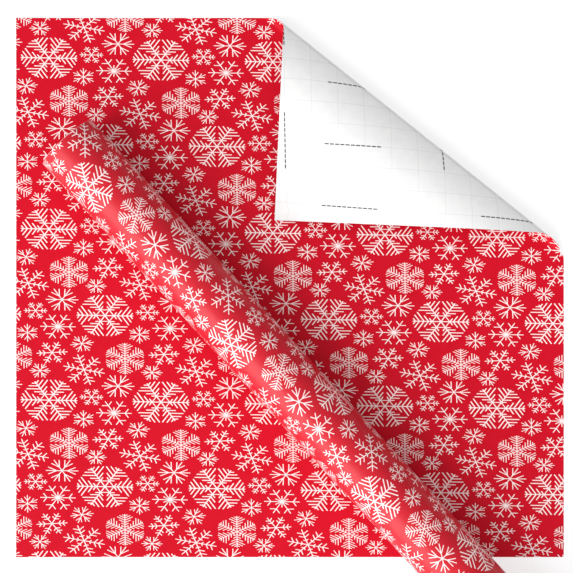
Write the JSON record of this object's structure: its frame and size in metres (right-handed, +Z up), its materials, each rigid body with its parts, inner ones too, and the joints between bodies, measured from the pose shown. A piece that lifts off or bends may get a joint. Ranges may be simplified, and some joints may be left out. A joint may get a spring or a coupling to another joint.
{
  "type": "wrapping paper roll",
  "caption": "Roll of printed gift wrap on a board core, lying across a square sheet of the same paper with one corner folded back.",
  "frame": {"origin": "the middle of the sheet's underside, which rests on the table", "axes": "+Z up; +X and +Y along the sheet's edges, towards its folded corner; the roll's axis runs at -47.5 degrees from +X"},
  "size_m": [0.5995, 0.7234, 0.0684],
  "materials": {
    "gift_wrap": "gloss coated print, red with pale snowflakes; matt white reverse",
    "core_board": "matt grey-brown board",
    "tape": "clear tape"
  },
  "bodies": {
    "sheet": {"sheet_panel": "gift_wrap", "sheet_curl": "gift_wrap"},
    "corner": {"sheet_corner": "gift_wrap"},
    "carrier": {"core_inner_ply": "core_board"},
    "roll": {"core_outer_ply": "core_board", "start_tape": "tape", "wound_paper": "gift_wrap"},
    "leading_edge": {"paper_end": "gift_wrap"}
  },
  "joints": [
    {"name": "corner_fold", "type": "hinge", "parent": "sheet", "child": "corner", "pos_m": [0.13362, 0.16241, 0.00771], "axis": [-0.7813, 0.6241, 0], "range_deg": [0, 150], "deforming": ["sheet_curl"]},
    {"name": "roll_travel", "type": "slide", "parent": "sheet", "child": "carrier", "axis": [-0.7373, -0.6756, 0], "range_m": [-0.066, 0.21363]},
    {"name": "roll_spin", "type": "hinge", "parent": "carrier", "child": "roll", "pos_m": [0.0251, -0.1295, 0.0344], "axis": [0.6756, -0.7373, 0], "range_deg": [-112, 361]},
    {"name": "edge_lift", "type": "hinge", "parent": "roll", "child": "leading_edge", "pos_m": [0.03762, -0.11804, 0.005], "axis": [-0.6756, 0.7373, 0], "range_deg": [0, 40], "stiffness_Nm_per_rad": 0.002, "springref_deg": -17.19}
  ],
  "couplings": [
    {"joint": "roll_spin", "follows": "roll_travel", "rad_per_m": 29.412}
  ]
}
